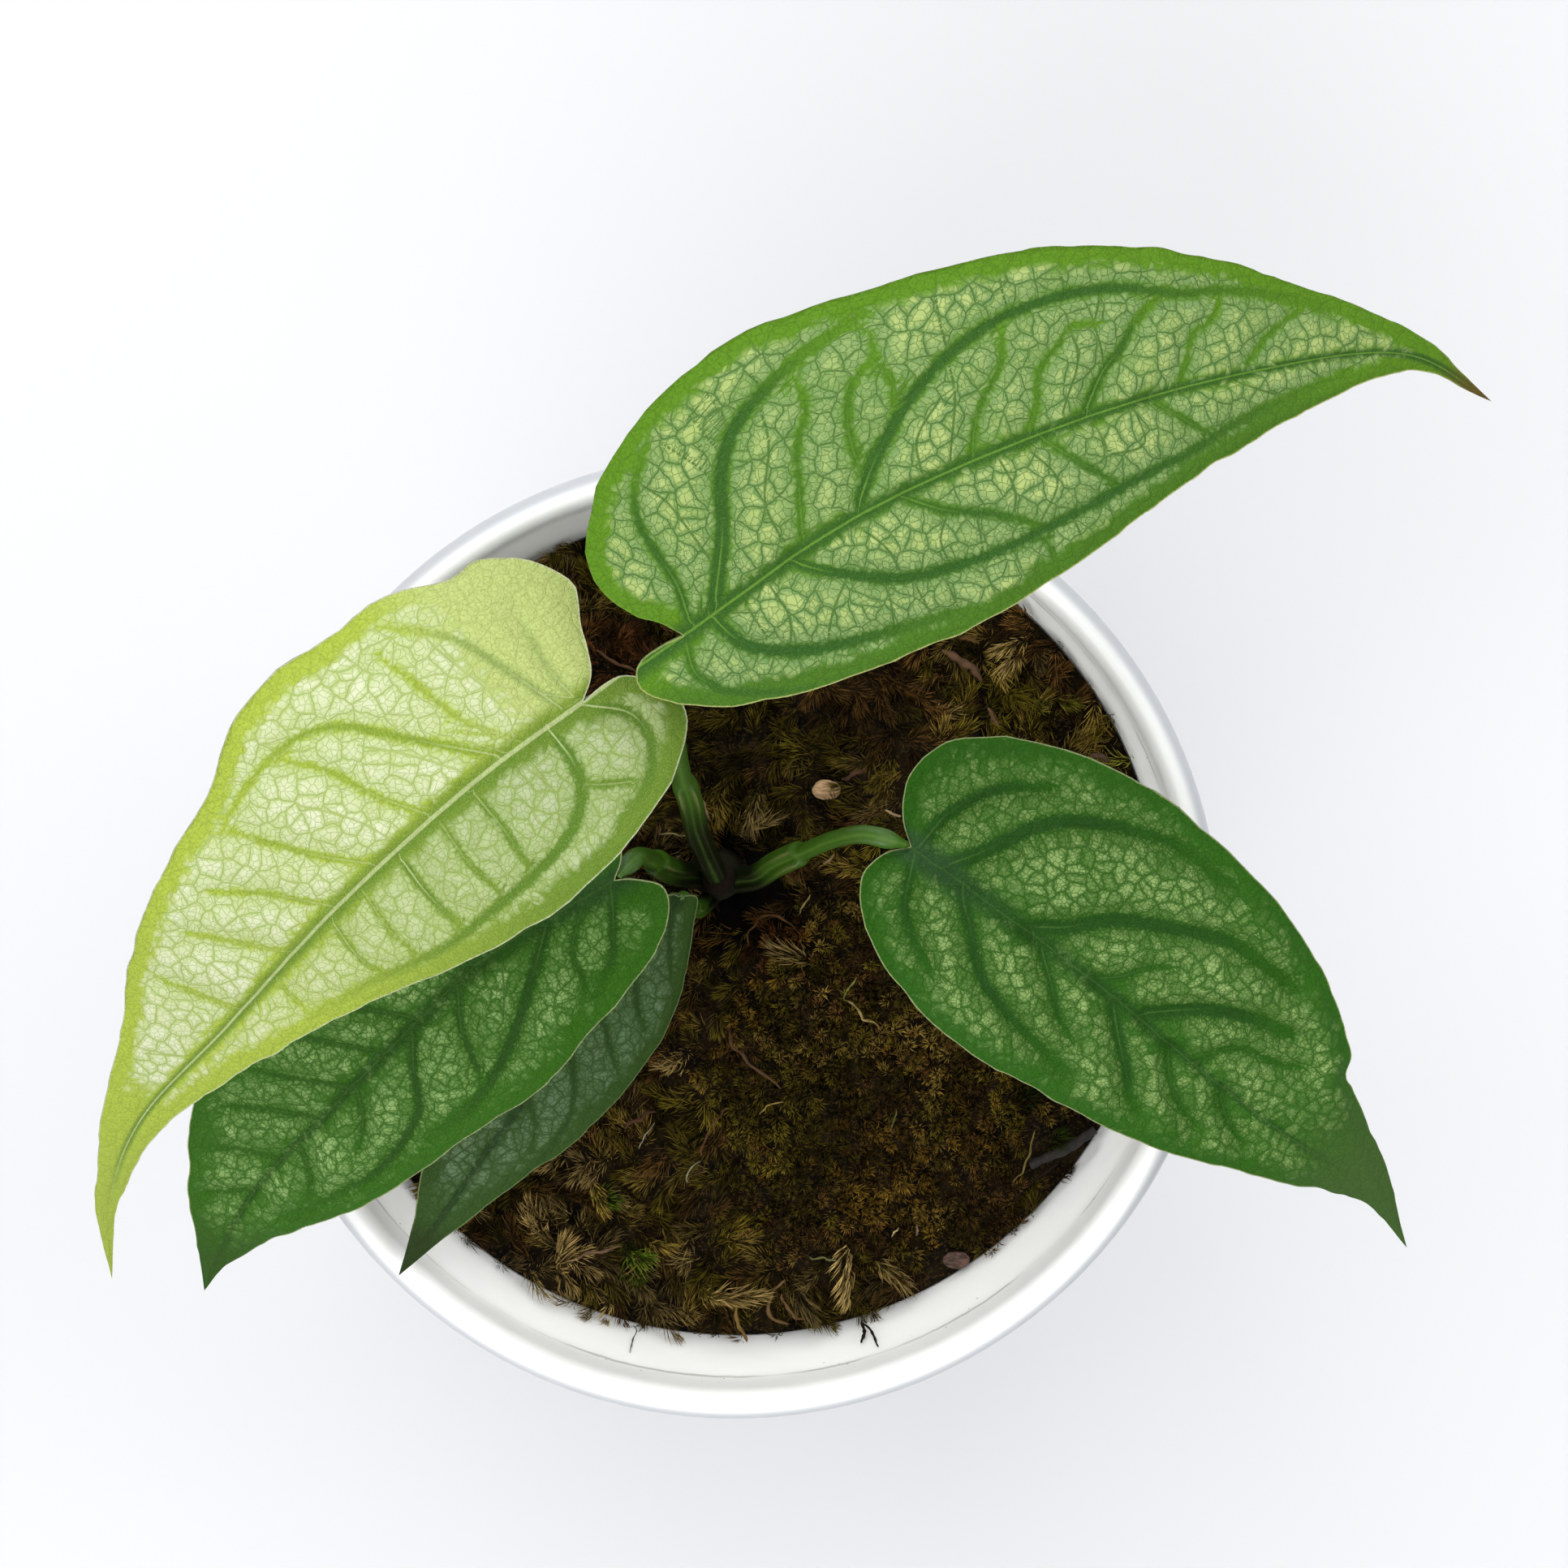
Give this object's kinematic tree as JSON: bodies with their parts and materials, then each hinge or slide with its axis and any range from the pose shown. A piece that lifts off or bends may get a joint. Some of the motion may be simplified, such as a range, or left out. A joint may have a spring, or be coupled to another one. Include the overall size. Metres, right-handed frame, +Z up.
{
  "type": "potted monstera siltepecana",
  "caption": "Young potted aroid with broad pointed silver-green leaves on slender sheathed stalks, rising from moss in a round white pot with a flared rolled rim.",
  "frame": {"origin": "centre of the pot's flat foot, on the surface the pot stands on", "axes": "+Z up, from the foot to the leaves; +X to the right and +Y away from the viewer who sees the plant from above with its highest leaf at the top"},
  "size_m": [0.1619, 0.1433, 0.1723],
  "materials": {
    "pot_white": "smooth white gloss, faintly cream inside",
    "potting_mix": "moist dark peat and bark crumbs",
    "moss": "matted olive and tan moss",
    "stem_green": "smooth green skin with brown nodes",
    "stalk_green": "smooth green skin with a pale papery sheath edge",
    "leaf_silver_green": "satin mid green with silver-green panels between the veins",
    "leaf_lime": "satin lime green with near-white panels between the veins",
    "leaf_dark_green": "satin dark green, quilted, with silver-green patches",
    "leaf_shade_green": "satin blue-grey green",
    "dark_bark": "rough dark brown",
    "pale_bark": "rough pale tan"
  },
  "bodies": {
    "root": {"pot": "pot_white", "potting_mix": "potting_mix", "moss_mat": "moss", "stem": "stem_green", "leaf_stalk_1": "stalk_green", "leaf_1": "leaf_silver_green", "leaf_stalk_2": "stalk_green", "leaf_2": "leaf_lime", "leaf_stalk_3": "stalk_green", "leaf_3": "leaf_dark_green", "leaf_stalk_4": "stalk_green", "leaf_4": "leaf_shade_green", "leaf_stalk_5": "stalk_green", "leaf_5": "leaf_dark_green", "twig": "dark_bark", "bark_flake": "pale_bark", "seed_husk": "dark_bark"}
  },
  "joints": []
}
